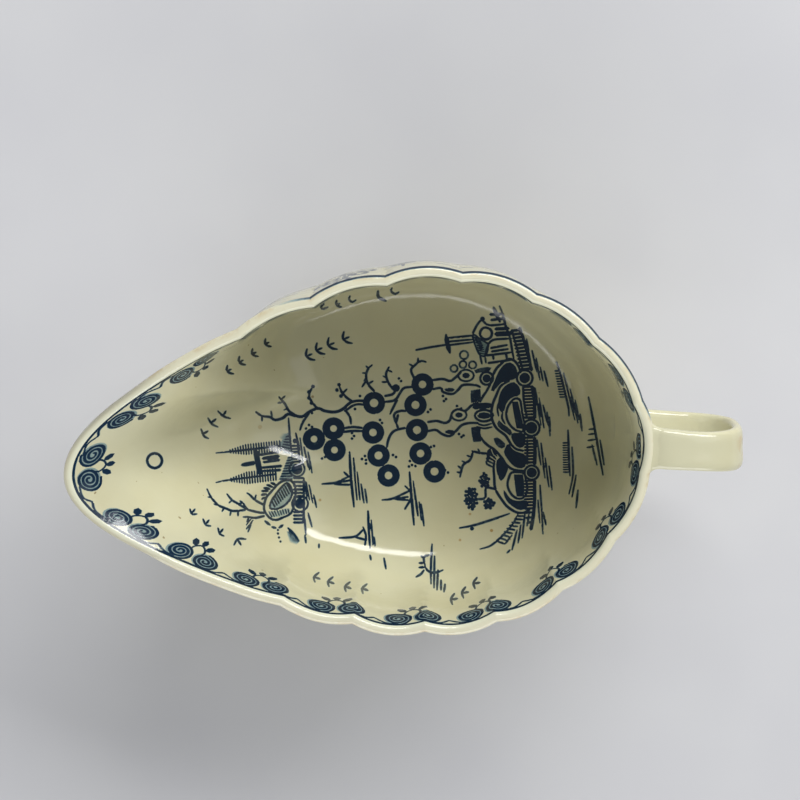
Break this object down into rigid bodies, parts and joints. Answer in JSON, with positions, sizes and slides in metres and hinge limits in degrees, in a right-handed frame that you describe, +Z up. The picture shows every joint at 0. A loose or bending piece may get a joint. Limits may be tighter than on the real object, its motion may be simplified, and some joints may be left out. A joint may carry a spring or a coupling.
{
  "type": "sauceboat",
  "caption": "Boat-shaped pottery sauceboat with a flared pouring lip, scalloped rim, low oval foot and strap loop handle, glazed cream and painted in underglaze blue.",
  "frame": {"origin": "on the table under the middle of the whole piece, from spout tip to handle", "axes": "+X from the pouring lip to the handle, +Y to the side, +Z up from the foot"},
  "size_m": [0.1943, 0.1077, 0.0707],
  "materials": {
    "glaze": "glossy greenish cream lead glaze over pale pottery, with cobalt painting under it",
    "foot_glaze": "glossy glaze, wiped off the table edge to the bare biscuit"
  },
  "bodies": {
    "root": {"body": "glaze", "foot_ring": "foot_glaze", "foot_lute": "glaze", "handle": "glaze", "handle_upper_lute": "glaze", "handle_lower_lute": "glaze"}
  },
  "joints": []
}
